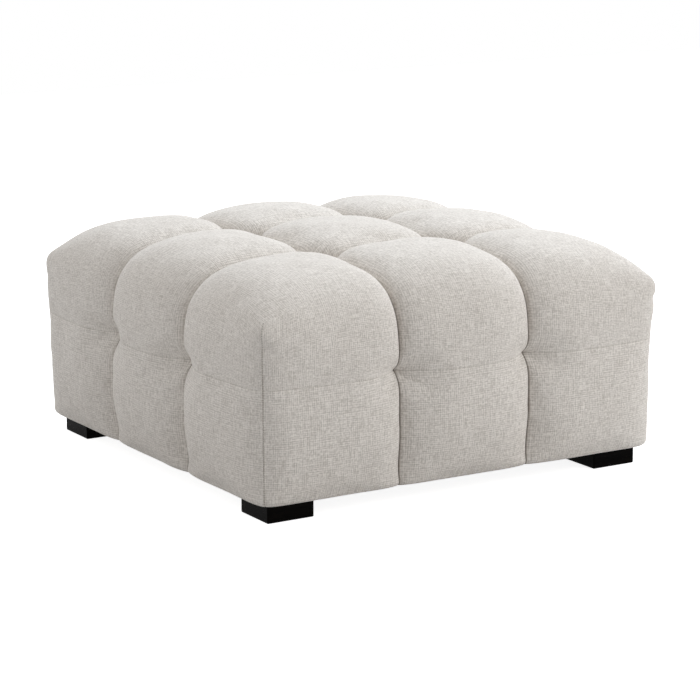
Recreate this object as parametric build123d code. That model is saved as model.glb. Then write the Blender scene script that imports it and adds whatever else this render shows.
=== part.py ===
"""Square tufted pouf: a padded cocktail ottoman on four low block legs.

A timber frame carries a plywood deck. Foam lies over the deck and round the sides, and nine sewn
biscuits wrap over it down to a seam at mid height. Four padded borders close the sides below that
seam. Cords pull the cover down where the seams cross.

Frame of reference: +Z up, origin on the floor under the middle, front towards -Y. Lengths in mm.
"""

import os
from math import cos, radians, sin, sqrt

from build123d import *

# Legs
leg_size = 98.0
leg_height = 36.0
leg_inset = 32.0
leg_edge_round = 2.5
leg_foot_bevel = 1.5

# Leg bolts, screwed up into threaded sleeves in the corner blocks
bolt_diameter = 8.0
bolt_in_leg = 22.0
bolt_in_block = 34.0
bolt_clearance = 0.15
sleeve_diameter = 12.0
sleeve_length = 20.0
bolt_end_gap = 3.0

# Outside of the upholstery
foot_width = 898.0
belly_bulge = 8.0
body_height = 430.0
mid_seam_share = 0.51
tuft_pitch_share = 0.329

# How the cover is drawn in
mid_seam_pull = 2.0
shoulder_rise = 92.0
top_cleft_depth = 62.0
top_tuft_depth = 86.0
side_cleft_depth = 34.0
side_cleft_reach = 105.0
side_tuft_reach = 62.0
side_tuft_skin = 2.0
foot_cleft_depth = 4.0
foot_cleft_reach = 45.0
corner_round = 44.0
tuft_corner_round = 4.0
pit_floor = 12.0
dome_corner_round = 90.0
pit_round = 18.0

# Padding under the cover
side_padding = 52.0
side_foam_thickness = 9.0
deck_foam_thickness = 60.0

# Timber frame
panel_thickness = 3.0
rail_thickness = 22.0
lower_rail_height = 70.0
rail_below_cord = 15.0
deck_thickness = 15.0
post_size = 45.0
stud_width = 45.0
bearer_width = 45.0
bearer_height = 40.0
bearer_spacing = 150.0
deck_hole_diameter = 10.0

# Dust cover under the frame
dust_cover_thickness = 1.0
dust_cover_margin = 6.0
dust_cover_leg_gap = 2.0

# Tufting cords and the wooden toggles that hold them
cord_diameter = 2.4
cord_clearance = 0.3
cord_tail = 6.0
toggle_length = 34.0
toggle_width = 14.0
toggle_thickness = 4.0

# How many flats stand for a round
round_flat_count = 8
mitre_flat_count = 4
cord_flat_count = 8

# Shares of a rise or a half width, and angles up the dome, at the levels of the padding
border_level_shares = (0.0, 0.18, 0.4, 0.64, 0.86)
wall_level_shares = (0.22, 0.6, 1.0)
pit_level_share = 0.6
dome_angles = (0.0, 14.0, 28.0, 42.0, 56.0, 70.0, 84.0)
dome_round_shares = (0.28, 0.42, 0.55, 0.66, 0.76, 0.84, 0.9)

sides = ("front", "right", "back", "left")
corners = ("front_right", "back_right", "back_left", "front_left")
quarter_turn = 90.0

# Heights and half widths worked out from the sizes above
body_bottom = leg_height
crown_top = body_bottom + body_height
mid_seam = body_bottom + mid_seam_share * body_height
lower_rail_top = body_bottom + lower_rail_height
frame_half = foot_width / 2 - side_padding
panel_outside = frame_half + panel_thickness
core_half = panel_outside + side_foam_thickness
belly_half = foot_width / 2 + belly_bulge
seam_cleft_depth = belly_half - mid_seam_pull - core_half - side_tuft_skin
tuft_half = tuft_pitch_share * foot_width / 2
outer_cell_half = (belly_half - tuft_half) / 2
tuft_bottom = crown_top - top_tuft_depth
cleft_bottom = crown_top - top_cleft_depth
dome_rise = top_cleft_depth / sin(radians(dome_angles[-1]))
dome_top = cleft_bottom + dome_rise
shoulder_base = crown_top - shoulder_rise
core_top = tuft_bottom - pit_floor
deck_top = core_top - deck_foam_thickness
deck_bottom = deck_top - deck_thickness
upper_rail_bottom = mid_seam - rail_below_cord
leg_outside = foot_width / 2 - leg_inset
leg_middle = leg_outside - leg_size / 2
corner_block_size = leg_size
rail_inside = frame_half - rail_thickness
post_inside = frame_half - post_size
cord_hole_diameter = cord_diameter + 2 * cord_clearance
tuft_places = [(x * tuft_half, y * tuft_half) for x in (-1, 1) for y in (-1, 1)]


def block(x_range, y_range, z_range):
    """A box between two x values, two y values and two heights."""
    size = [high - low for low, high in (x_range, y_range, z_range)]
    middle = [(high + low) / 2 for low, high in (x_range, y_range, z_range)]
    return Pos(*middle) * Box(*size)


def rod(diameter, low, high, x=0.0, y=0.0):
    """An upright cylinder between two heights."""
    return Pos(x, y, (low + high) / 2) * Cylinder(diameter / 2, high - low)


def turned(shape, count):
    """The shape turned about the middle by that many quarter turns."""
    return Rot(0, 0, count * quarter_turn) * shape


def save(name, *shapes):
    """Write one node, of one or several separate solids."""
    solids = [solid for shape in shapes for solid in shape.solids()]
    whole = solids[0] if len(solids) == 1 else Compound(children=solids)
    export_step(whole, os.path.join("parts", name + ".step"))


def drawn_in(angle):
    """The share of a half width that is left at an angle up an elliptical dome."""
    return cos(radians(angle))


def left_of(reach, rise, height_up):
    """What an ellipse of this reach and rise leaves of the reach, at a height up it."""
    share = height_up / rise
    return reach * sqrt(1 - share * share)


def between(low, high, share):
    """The value at a share of the way from low to high."""
    return low + (high - low) * share


def meeting(first, second):
    """Where two lines cross, each given as its normal's angle and its distance from the middle."""
    (turn_a, far_a), (turn_b, far_b) = first, second
    a, b = radians(turn_a), radians(turn_b)
    across = sin(b - a)
    x = (far_a * sin(b) - far_b * sin(a)) / across
    y = (far_b * cos(a) - far_a * cos(b)) / across
    return x, y


def round_corner(centre, reach_x, reach_y, from_turn, to_turn, flats):
    """The corner points of an elliptical round that flats replace, seen anticlockwise.

    Each flat touches the ellipse where the ellipse faces the flat's own fixed direction. So the
    flats of two levels are parallel, and the wall between them is flat as well.
    """
    lines = []
    for number in range(flats + 1):
        turn = between(from_turn, to_turn, number / flats)
        a = radians(turn)
        ellipse = sqrt((reach_x * cos(a)) ** 2 + (reach_y * sin(a)) ** 2)
        lines.append((turn, centre[0] * cos(a) + centre[1] * sin(a) + ellipse))
    return [meeting(one, two) for one, two in zip(lines, lines[1:])]


def cell_outline(low_x, high_x, low_y, high_y, rounds):
    """The outline of one padded cell at one height, from its low right corner anticlockwise.

    rounds has how far each corner's round reaches along X and along Y. None is a square corner.
    """
    points = []
    at = ((high_x, low_y, -1, 1), (high_x, high_y, -1, -1), (low_x, high_y, 1, -1), (low_x, low_y, 1, 1))
    for number, ((x, y, into_x, into_y), reaches) in enumerate(zip(at, rounds)):
        if reaches is None:
            points.append((x, y))
        else:
            reach_x, reach_y = reaches
            centre = (x + into_x * reach_x, y + into_y * reach_y)
            start = (number - 1) * quarter_turn
            points += round_corner(centre, reach_x, reach_y, start, start + quarter_turn, round_flat_count)
    return points


def padded_solid(levels):
    """A closed solid through outlines of as many points each, given as (height, outline)."""
    rings = [[Vector(x, y, height) for x, y in outline] for height, outline in levels]
    faces = [Face(Wire.make_polygon(ring, close=True)) for ring in (rings[0], rings[-1])]
    for low, high in zip(rings, rings[1:]):
        for place in range(len(low)):
            wall = [low[place - 1], low[place], high[place], high[place - 1]]
            faces.append(Face(Wire.make_polygon(wall, close=True)))
    return Solid(Shell(faces))


def wall_levels():
    """Height, pull of the face, and reach and depth of the clefts, up a biscuit's wall."""
    yield mid_seam, mid_seam_pull, side_tuft_reach, seam_cleft_depth
    for share in wall_level_shares:
        yield between(mid_seam, shoulder_base, share), 0.0, side_cleft_reach, side_cleft_depth


def shoulder_levels():
    """Heights from the top of the wall up to where the clefts of the top begin."""
    yield tuft_bottom, tuft_corner_round
    yield between(tuft_bottom, cleft_bottom, pit_level_share), pit_round


def dome_levels():
    """Height, share left of the half width, and share of it that the rounds take, up the dome."""
    for angle, round_share in zip(dome_angles, dome_round_shares):
        yield cleft_bottom + dome_rise * sin(radians(angle)), drawn_in(angle), round_share


def outer_left(height):
    """How far a biscuit's outer side still lies from its middle, at a height up the shoulder."""
    return left_of(outer_cell_half, dome_top - shoulder_base, height - shoulder_base)


def edge_biscuit():
    """The front middle biscuit: it wraps over the edge and down to the mid seam."""
    inner_y = -tuft_half
    middle_y = inner_y - outer_cell_half
    levels = []
    for height, pull, reach, depth in wall_levels():
        small, cleft = (tuft_corner_round,) * 2, (reach, depth)
        box = (-tuft_half, tuft_half, -belly_half + pull, inner_y)
        levels.append((height, cell_outline(*box, (cleft, small, small, cleft))))
    for height, pit in shoulder_levels():
        small, cleft = (pit, pit), (side_cleft_reach, side_cleft_depth)
        box = (-tuft_half, tuft_half, middle_y - outer_left(height), inner_y)
        levels.append((height, cell_outline(*box, (cleft, small, small, cleft))))
    for height, share, round_share in dome_levels():
        wide, inner, outer = tuft_half * share, outer_cell_half * share, outer_left(height)
        soft = round_share * min(wide, inner)
        near = (max(soft, side_cleft_reach * share), max(round_share * outer, side_cleft_depth * share))
        box = (-wide, wide, middle_y - outer, middle_y + inner)
        levels.append((height, cell_outline(*box, (near, (soft, soft), (soft, soft), near))))
    return padded_solid(levels) - core_block()


def corner_biscuit():
    """The front right biscuit: a dome over the corner, above a seam where its two sides meet."""
    inner = tuft_half
    middle = inner + outer_cell_half
    levels = []
    for height, pull, reach, depth in wall_levels():
        out = belly_half - pull
        small, sharp = (tuft_corner_round,) * 2, (corner_round,) * 2
        box = (inner, out, -out, -inner)
        levels.append((height, cell_outline(*box, (sharp, (depth, reach), small, (reach, depth)))))
    for height, pit in shoulder_levels():
        out = middle + outer_left(height)
        share = (height - shoulder_base) / (cleft_bottom - shoulder_base)
        softer = between(corner_round, dome_corner_round, share)
        rounds = (
            (softer, softer),
            (side_cleft_depth, side_cleft_reach),
            (pit, pit),
            (side_cleft_reach, side_cleft_depth),
        )
        levels.append((height, cell_outline(inner, out, -out, -inner, rounds)))
    for height, share, round_share in dome_levels():
        half, outer = outer_cell_half * share, outer_left(height)
        soft = round_share * half
        far = max(soft, side_cleft_reach * share)
        near = max(round_share * outer, side_cleft_depth * share)
        domed = max(round_share * outer, dome_corner_round * share)
        box = (middle - half, middle + outer, -middle - outer, -middle + half)
        levels.append((height, cell_outline(*box, ((domed, domed), (near, far), (soft, soft), (far, near)))))
    return padded_solid(levels) - core_block()


def centre_biscuit():
    """The middle biscuit: a square pillow on the deck foam."""
    square = (-tuft_half, tuft_half, -tuft_half, tuft_half)
    small = (tuft_corner_round,) * 2
    levels = [(core_top, cell_outline(*square, (small,) * 4))]
    for height, pit in shoulder_levels():
        levels.append((height, cell_outline(*square, ((pit, pit),) * 4)))
    for height, share, round_share in dome_levels():
        half = tuft_half * share
        soft = (round_share * half,) * 2
        levels.append((height, cell_outline(-half, half, -half, half, (soft,) * 4)))
    return padded_solid(levels)


def core_block():
    """The space that the frame and its foam take up under the biscuits."""
    return block((-core_half, core_half), (-core_half, core_half), (body_bottom, core_top))


def border_levels():
    """Height, half width outside, and reach and depth of the clefts, up the border."""
    for share in border_level_shares:
        swell = share * (2 - share)
        yield (
            between(body_bottom, mid_seam, share),
            between(foot_width / 2, belly_half, swell),
            between(foot_cleft_reach, side_cleft_reach, swell),
            between(foot_cleft_depth, side_cleft_depth, swell),
        )
    yield mid_seam, belly_half - mid_seam_pull, side_tuft_reach, seam_cleft_depth


def border_cells():
    """The three padded cells of the front border: two end in mitres at the corners."""
    middle, right = [], []
    for height, outside, reach, depth in border_levels():
        cleft = (reach, depth)
        box = (-tuft_half, tuft_half, -outside, -core_half)
        middle.append((height, cell_outline(*box, (cleft, None, None, cleft))))
        centre = (outside - corner_round, corner_round - outside)
        turns = (-quarter_turn, -quarter_turn / 2)
        corner = round_corner(centre, corner_round, corner_round, *turns, mitre_flat_count)
        nose = corner_round * cos(radians(quarter_turn / 2))
        outline = corner + [(centre[0] + nose, centre[1] - nose), (core_half, -core_half)]
        outline.append((tuft_half, -core_half))
        ellipse = (tuft_half + reach, depth - outside)
        outline += round_corner(ellipse, reach, depth, 2 * quarter_turn, 3 * quarter_turn, round_flat_count)
        right.append((height, outline))
    left = [(height, [(-x, y) for x, y in reversed(outline)]) for height, outline in right]
    return [padded_solid(levels) for levels in (left, middle, right)]


def leg():
    """The front right leg: a hardwood block with eased edges and a blind bolt hole in its top."""
    body = Pos(leg_middle, -leg_middle, leg_height / 2) * Box(leg_size, leg_size, leg_height)
    body = fillet(body.edges().filter_by(Axis.Z), leg_edge_round)
    body = chamfer(body.faces().sort_by(Axis.Z)[0].edges(), leg_foot_bevel)
    bore = bolt_diameter + 2 * bolt_clearance
    return body - rod(bore, leg_height - bolt_in_leg - bolt_end_gap, leg_height, leg_middle, -leg_middle)


def leg_bolt():
    """The threaded rod that joins the front right leg to its corner block."""
    return rod(bolt_diameter, leg_height - bolt_in_leg, body_bottom + bolt_in_block, leg_middle, -leg_middle)


def leg_sleeve():
    """The threaded sleeve, driven into the corner block from below, that takes the bolt."""
    top = body_bottom + sleeve_length
    bore = bolt_diameter + 2 * bolt_clearance
    barrel = rod(sleeve_diameter, body_bottom, top, leg_middle, -leg_middle)
    return barrel - rod(bore, body_bottom, top, leg_middle, -leg_middle)


def corner_block():
    """The front right block of the frame, as high as the lower rails, bored for the sleeve."""
    inside = frame_half - corner_block_size
    body = block((inside, frame_half), (-frame_half, -inside), (body_bottom, lower_rail_top))
    bore_top = body_bottom + bolt_in_block + bolt_end_gap
    return body - rod(sleeve_diameter, body_bottom, bore_top, leg_middle, -leg_middle)


def post():
    """The front right corner post, from the corner block up to the deck."""
    return block((post_inside, frame_half), (-frame_half, -post_inside), (lower_rail_top, deck_bottom))


def lower_rail():
    """The front lower rail, between two corner blocks."""
    end = frame_half - corner_block_size
    return block((-end, end), (-frame_half, -rail_inside), (body_bottom, lower_rail_top))


def upper_rail():
    """The front upper rail, between two posts, drilled for the cords of the side tufts."""
    rail = block((-post_inside, post_inside), (-frame_half, -rail_inside), (upper_rail_bottom, deck_bottom))
    return rail - side_cord_holes(frame_half, rail_inside)


def studs():
    """The two uprights between the front rails, behind the clefts of the padding."""
    y_range, z_range = (-frame_half, -rail_inside), (lower_rail_top, upper_rail_bottom)
    half = stud_width / 2
    return [block((x - half, x + half), y_range, z_range) for x in (-tuft_half, tuft_half)]


def side_panel():
    """The hardboard that closes the front of the frame. Its right end laps the next panel's edge."""
    panel = block((-frame_half, panel_outside), (-panel_outside, -frame_half), (body_bottom, deck_top))
    return panel - side_cord_holes(panel_outside, frame_half)


def side_foam():
    """The foam sheet glued over the front panel."""
    sheet = block((-panel_outside, core_half), (-core_half, -panel_outside), (body_bottom, deck_top))
    return sheet - side_cord_holes(core_half, panel_outside)


def deck_panel():
    """The plywood deck, with a hole for the cord of each top tuft."""
    deck = block((-frame_half, frame_half), (-frame_half, frame_half), (deck_bottom, deck_top))
    for x, y in tuft_places:
        deck -= upright_cord(deck_hole_diameter, deck_bottom, deck_top, x, y)
    return deck


def deck_bearer():
    """The right one of two bearers that carry the deck between the front and back rails."""
    middle, half = bearer_spacing / 2, bearer_width / 2
    y_range, z_range = (-rail_inside, rail_inside), (deck_bottom - bearer_height, deck_bottom)
    return block((middle - half, middle + half), y_range, z_range)


def deck_foam():
    """The thick foam slab on the deck, pierced by the cords."""
    slab = block((-core_half, core_half), (-core_half, core_half), (deck_top, core_top))
    for x, y in tuft_places:
        slab -= upright_cord(cord_hole_diameter, deck_top, core_top, x, y)
    return slab


def upright_cord(diameter, low, high, x, y):
    """A length of cord, or the hole for one, between two heights."""
    section = RegularPolygon(diameter / 2, cord_flat_count)
    return Pos(x, y, low) * extrude(section, high - low)


def side_cord(diameter, outer, inner, x):
    """A length of cord, or the hole for one, through the front side at the mid seam."""
    return Pos(x, -outer, mid_seam) * Rot(-quarter_turn, 0, 0) * extrude(
        RegularPolygon(diameter / 2, cord_flat_count), outer - inner
    )


def side_cord_holes(outer, inner):
    """The two cord holes through one layer of the front side."""
    holes = [side_cord(cord_hole_diameter, outer, inner, x) for x in (-tuft_half, tuft_half)]
    return holes[0] + holes[1]


def top_cords():
    """The four cords that pull the top tufts down to the deck."""
    low = deck_bottom - toggle_thickness - cord_tail
    return [upright_cord(cord_diameter, low, tuft_bottom, x, y) for x, y in tuft_places]


def top_toggles():
    """The wooden toggles under the deck that the four top cords are tied round."""
    toggles = []
    for x, y in tuft_places:
        middle = deck_bottom - toggle_thickness / 2
        bar = Pos(x, y, middle) * Box(toggle_length, toggle_width, toggle_thickness)
        hole = upright_cord(cord_hole_diameter, deck_bottom - toggle_thickness, deck_bottom, x, y)
        toggles.append(bar - hole)
    return toggles


def side_cords():
    """The two cords that pull the front side tufts in to the upper rail."""
    inner = rail_inside - toggle_thickness - cord_tail
    return [side_cord(cord_diameter, core_half, inner, x) for x in (-tuft_half, tuft_half)]


def side_toggles():
    """The wooden toggles behind the front upper rail."""
    toggles = []
    for x in (-tuft_half, tuft_half):
        middle = -rail_inside + toggle_thickness / 2
        bar = Pos(x, middle, mid_seam) * Box(toggle_length, toggle_thickness, toggle_width)
        toggles.append(bar - side_cord(cord_hole_diameter, rail_inside, rail_inside - toggle_thickness, x))
    return toggles


def dust_cover():
    """The cloth under the frame, cut out at its corners round the legs."""
    half = frame_half - dust_cover_margin
    leg_inside = leg_middle - leg_size / 2 - dust_cover_leg_gap
    z_range = (body_bottom - dust_cover_thickness, body_bottom)
    cloth = block((-half, half), (-half, half), z_range)
    for turn in range(len(corners)):
        cloth -= turned(block((leg_inside, half), (-half, -leg_inside), z_range), turn)
    return cloth


def all_round(make):
    """What one maker gives for the front, repeated for all four sides."""
    made = make()
    pieces = made if isinstance(made, list) else [made]
    return [turned(piece, turn) for turn in range(len(sides)) for piece in pieces]


os.makedirs("parts", exist_ok=True)

side_nodes = {
    "biscuit": edge_biscuit(),
    "border": border_cells(),
    "lower_rail": lower_rail(),
    "upper_rail": upper_rail(),
    "studs": studs(),
    "side_panel": side_panel(),
    "side_foam": side_foam(),
}
corner_nodes = {
    "biscuit": corner_biscuit(),
    "leg": leg(),
    "corner_block": corner_block(),
    "corner_post": post(),
}
for names, nodes in ((sides, side_nodes), (corners, corner_nodes)):
    for turn, place in enumerate(names):
        for kind, made in nodes.items():
            pieces = made if isinstance(made, list) else [made]
            save(kind + "_" + place, *[turned(piece, turn) for piece in pieces])

save("biscuit_centre", centre_biscuit())
save("deck_panel", deck_panel())
save("deck_foam", deck_foam())
save("deck_bearer_right", deck_bearer())
save("deck_bearer_left", turned(deck_bearer(), 2))
save("dust_cover", dust_cover())
save("leg_bolts", *all_round(leg_bolt))
save("leg_sleeves", *all_round(leg_sleeve))
save("top_tuft_cords", *top_cords())
save("top_tuft_toggles", *top_toggles())
save("side_tuft_cords", *all_round(side_cords))
save("side_tuft_toggles", *all_round(side_toggles))
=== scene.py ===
# %% [markdown]
# # A square tufted pouf in pale linen
#
# The object is a low, square ottoman. Nine stuffed biscuits cover its top and wrap down to a seam
# at mid height, and four borders of three padded cells close the sides below that seam. It stands
# on four dark block legs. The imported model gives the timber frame, the foam and the legs, all at
# real size, and this lesson dresses them: it makes the cover, its cloth and the light.

import bmesh
import bpy
import numpy as np
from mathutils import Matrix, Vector


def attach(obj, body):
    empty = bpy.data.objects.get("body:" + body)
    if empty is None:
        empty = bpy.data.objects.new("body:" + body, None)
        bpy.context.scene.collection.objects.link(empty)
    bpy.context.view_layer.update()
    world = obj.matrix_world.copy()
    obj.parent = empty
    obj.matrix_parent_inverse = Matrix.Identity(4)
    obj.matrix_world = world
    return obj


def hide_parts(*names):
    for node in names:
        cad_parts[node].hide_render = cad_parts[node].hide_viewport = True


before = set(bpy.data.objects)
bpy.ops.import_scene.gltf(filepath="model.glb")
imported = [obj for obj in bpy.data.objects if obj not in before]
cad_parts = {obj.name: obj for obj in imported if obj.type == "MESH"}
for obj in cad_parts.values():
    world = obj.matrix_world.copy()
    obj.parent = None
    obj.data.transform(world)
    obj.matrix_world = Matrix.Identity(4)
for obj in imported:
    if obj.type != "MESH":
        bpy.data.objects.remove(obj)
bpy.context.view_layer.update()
scene = bpy.context.scene

# %% [markdown]
# ## Camera
#
# A product picture is taken from some way off with a long lens, so that the sides hardly run
# together. The angles below were found by matching the seams and the outline of the real pouf.
# The camera looks at a point low down beyond the object and to its right, which puts the pouf
# where it stands in the picture.

# %% Set the camera
picture_width = 700
focal_pixels = 2572.3
sensor_width = 36.0
azimuth, elevation = np.radians(-31.854), np.radians(12.249)
target = Vector((0.3380, 0.5162, 0.0641))
distance = 5.7993

away = Vector((
    np.sin(azimuth) * np.cos(elevation),
    -np.cos(azimuth) * np.cos(elevation),
    np.sin(elevation),
))
camera_data = bpy.data.cameras.new("camera")
camera_data.sensor_width = sensor_width
camera_data.lens = focal_pixels / picture_width * sensor_width
camera = bpy.data.objects.new("camera", camera_data)
camera.location = target + away * distance
camera.rotation_euler = (-away).to_track_quat("-Z", "Y").to_euler()
scene.collection.objects.link(camera)
scene.camera = camera
print("lens", round(camera_data.lens, 1), "mm")

# %% [markdown]
# ## The shape of the cover
#
# A sewn cover over foam has two parts to its shape. The first is the taut outside that the cells
# would just touch: a box that leans in at the foot, turns over at its edges in a full round, and
# has a domed top. The second is how far the seams and cords pull the cloth in from that outside.
# Both could be sculpted by hand, but a formula keeps the nine biscuits alike and keeps their edges
# together. So each function below takes points on a bare box and says where the cloth is.

# %% Sizes of the cover, in metres
belly_half = 0.4475
foot_half = 0.4450
foot_height = 0.0361
seam_height = 0.2536
crest_height = 0.4511
tuft_place = 0.1452
core_half = 0.409
core_top = 0.368
print("cover", 2 * belly_half, "wide, from", foot_height, "to", crest_height)

# %% The dome of the top
dome_fall = 0.0384
dome_power = 2.441
dome_start = 0.1822


def smooth(share):
    """The curve 3s² - 2s³, which leaves 0 and reaches 1 with no slope."""
    share = np.clip(share, 0.0, 1.0)
    return share * share * (3.0 - 2.0 * share)


def dome(place):
    """How much the top has fallen at this distance from the middle, from 0 to 1, and its slope."""
    share = np.clip((np.abs(place) - dome_start) / (belly_half - dome_start), 0.0, 1.0)
    slope = dome_power * share ** (dome_power - 1.0) / (belly_half - dome_start)
    return share ** dome_power, slope * np.sign(place)


print("the dome falls", round(dome_fall * 1000, 1), "mm towards each side")

# %% [markdown]
# ## The rounded edges
#
# Foam under a taut cover has no sharp edge: the top turns over into the side in one soft round.
# Blender's bevel would make it a quarter circle, but the real edge is fuller than that, and at the
# four upright corners the foam's own corner pushes it out further. A superellipse has one number
# for how full it is, so the round here has a low number along the edges and a high one where both
# level distances are large, near a corner.

# %% The taut outside
edge_round = 0.129
edge_fullness = 3.149
corner_fullness = 7.0
top_corner_round = 0.0146
low_corner_round = 0.036
corner_change_height = 0.352
foot_taper_height = 0.176
least_length = 1e-9
least_power = 1e-12


def outside(points):
    """Points of the bare box, moved on to the taut outside, and the way out at each.

    Within edge_round of an edge the box gives way to a superellipsoid: the sum of the powers of
    the three distances from its middle, each over edge_round, is one. The power is fullness, and
    plan for the two level distances together, so that the corner has a round of its own, seen
    from above. The sum's gradient is the way out. Then the walls lean in towards the foot by a
    square law, and the top sinks by dome(). The least values only keep a nought from dividing.
    """
    low = np.array([-belly_half, -belly_half, -np.inf]) + edge_round
    high = np.array([belly_half, belly_half, crest_height]) - edge_round
    middle = np.clip(points, low, high)
    arm = points - middle
    q = np.abs(arm) / edge_round
    above = (points[..., 2] - corner_change_height) / (crest_height - corner_change_height)
    corner_round = low_corner_round + (top_corner_round - low_corner_round) * smooth(above)
    plan = 2.0 * edge_round / corner_round
    both = (q[..., 0] * q[..., 1]) ** 2
    fullness = edge_fullness + (corner_fullness - edge_fullness) * both
    level = q[..., 0] ** plan + q[..., 1] ** plan
    whole = (level ** (fullness / plan) + q[..., 2] ** fullness) ** (1.0 / fullness)
    whole = np.maximum(whole, least_length)[..., None]
    pulled = middle + arm / whole * np.max(q, axis=-1)[..., None]

    joint = np.maximum(level, least_power) ** (fullness / plan - 1.0)
    way = np.stack([
        joint * q[..., 0] ** (plan - 1.0),
        joint * q[..., 1] ** (plan - 1.0),
        q[..., 2] ** (fullness - 1.0),
    ], axis=-1) * np.sign(arm)
    way /= np.maximum(np.linalg.norm(way, axis=-1, keepdims=True), least_length)

    rise = np.clip((points[..., 2] - foot_height) / foot_taper_height, 0.0, 1.0)
    lean = 1.0 - (1.0 - foot_half / belly_half) * (1.0 - rise) ** 2
    pulled[..., :2] *= lean[..., None]
    height_share = (pulled[..., 2] - seam_height) / (crest_height - seam_height)
    height_share = np.clip(height_share, 0.0, 1.0)
    fallen, slope = dome(pulled[..., :2])
    pulled[..., 2] -= dome_fall * fallen.sum(-1) * height_share
    way[..., :2] += way[..., 2:] * slope * dome_fall * height_share[..., None]
    return pulled, way / np.linalg.norm(way, axis=-1, keepdims=True)


edge_point, _ = outside(np.array([[0.0, -belly_half, crest_height]]))
print("the edge of the box moves to", np.round(edge_point[0], 4))

# %% [markdown]
# ## How the cloth is drawn in
#
# On the real cover the seams between the biscuits are sewn deep into the foam, and cords pull the
# four crossings down, so a seam is deep about its crossings and shallower at the edge. Between its
# seams each biscuit swells like a cushion. A bump map would leave the outline flat, and the outline
# is what shows the stuffing, so the depth goes into the shape. The flank of a biscuit follows a
# rounded curve that drops steeply beside the seam, and the crown rises a little in between.

# %% The flank and the crown of a cell
flank_fullness = 3.7
crown_power = 1.5


def near(gap, reach):
    """A bell that is 1 at no gap and fades over the reach: e to the power of minus a square."""
    return np.exp(-(gap / reach) ** 2)


def flank(share, fullness=flank_fullness):
    """The side of a stuffed cell, from 0 on its crown to 1 in the seam: 1 - (1 - s^p)^(1/p)."""
    return 1.0 - np.maximum(1.0 - share ** fullness, 0.0) ** (1.0 / fullness)


def crown(place):
    """How much a cell has risen across its width: (1 - c²)^1.5, with c from -1 to 1 over the cell.

    An outer cell wraps over the edge, so its width runs on down to the mid seam, half_run each
    way from its middle. Places past the edge are given as if the side were folded up level.
    """
    half_run = (belly_half - tuft_place + crest_height - seam_height) / 2
    inner = np.abs(place) / tuft_place
    outer = (np.abs(place) - tuft_place - half_run) / half_run
    across = np.where(np.abs(place) < tuft_place, inner, outer)
    return (1.0 - np.clip(across, -1.0, 1.0) ** 2) ** crown_power


print("flank at half way", np.round(flank(0.5), 3))

# %% Depth on the top
flank_width = 0.1247
crossing_power = 3.624
top_seam_depth = 0.08
top_tuft_depth = 0.078
edge_seam_depth = 0.0476
seam_hold = 0.026
tuft_reach = 0.062
crown_rise = 0.0109
corner_calm_reach = 0.07


def pulled_on_top(x, y):
    """Depth below the taut outside on the top, from the gaps to the two nearest seams.

    Past a tuft the seam holds its depth for seam_hold, and then grows shallower to the edge.
    """
    gap_x, gap_y = np.abs(np.abs(x) - tuft_place), np.abs(np.abs(y) - tuft_place)
    share_x = np.clip(1.0 - gap_x / flank_width, 0.0, 1.0)
    share_y = np.clip(1.0 - gap_y / flank_width, 0.0, 1.0)
    share = (share_x ** crossing_power + share_y ** crossing_power) ** (1.0 / crossing_power)
    far = np.maximum(np.abs(x), np.abs(y)) - tuft_place - seam_hold
    outward = smooth(far / (belly_half - tuft_place - seam_hold))
    depth = top_seam_depth + (edge_seam_depth - top_seam_depth) * outward
    depth += (top_tuft_depth - top_seam_depth) * near(gap_x, tuft_reach) * near(gap_y, tuft_reach)
    from_corner = np.hypot(belly_half - np.abs(x), belly_half - np.abs(y))
    risen = crown_rise * crown(x) * crown(y) * (1.0 - near(from_corner, corner_calm_reach))
    return depth * flank(np.minimum(share, 1.0)) - risen


print("crown rises", np.round(-pulled_on_top(0.0, 0.0) * 1000, 1), "mm")

# %% [markdown]
# ## The sides of the cover
#
# On a side more things shape the cloth. Where a cleft meets the mid seam, a cord pulls a dimple
# into the padding. Below that seam the whole side bows out towards its middle. At each corner a
# stitched seam runs up to a small dart, and round the dart the spare cloth stands out like an ear.
# At the foot the cloth curls in under the frame, as a hem. All of these could be sculpted one by
# one, but as terms of one depth they can't come apart, and all four sides get the same.

# %% Depth on a side
side_flank_width = 0.115
foot_flank_width = 0.070
side_flank_fullness = 2.1
side_seam_depth = 0.0345
foot_seam_depth = 0.011
foot_fade_power = 4
side_bow = 0.019
bow_start_height = 0.11

side_tuft_depth = 0.0530
side_tuft_width = 0.100
side_tuft_height = 0.085
side_tuft_fullness = 1.4
joining_power = 4


def above_seam(height):
    """How far up from the mid seam to the crest a height is, from 0 to 1."""
    return smooth((height - seam_height) / (crest_height - seam_height))


def three_levels(foot, mid, crest, full, high):
    """A value that goes from foot to mid with full, and on to crest with high."""
    return foot + (mid - foot) * full + (crest - mid) * high


def cleft_and_tuft(along, height):
    """Depth of the clefts and of the tufts on a side, joined by a power sum, with no crease."""
    gap = np.abs(np.abs(along) - tuft_place)
    low = np.clip((height - foot_height) / (seam_height - foot_height), 0.0, 1.0)
    full = 1.0 - (1.0 - low) ** foot_fade_power
    high = above_seam(height)
    depth = three_levels(foot_seam_depth, side_seam_depth, edge_seam_depth, full, high)
    width = three_levels(foot_flank_width, side_flank_width, flank_width, full, high)
    fullness = side_flank_fullness + (flank_fullness - side_flank_fullness) * high
    cleft = depth * flank(np.clip(1.0 - gap / width, 0.0, 1.0), fullness)
    to_tuft = np.hypot(gap / side_tuft_width, (height - seam_height) / side_tuft_height)
    tuft = side_tuft_depth * flank(np.maximum(1.0 - to_tuft, 0.0), side_tuft_fullness)
    return (cleft ** joining_power + tuft ** joining_power) ** (1.0 / joining_power)


tuft_depth = cleft_and_tuft(tuft_place, seam_height)
print("side tuft", np.round(tuft_depth * 1000, 1), "mm deep")

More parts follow.
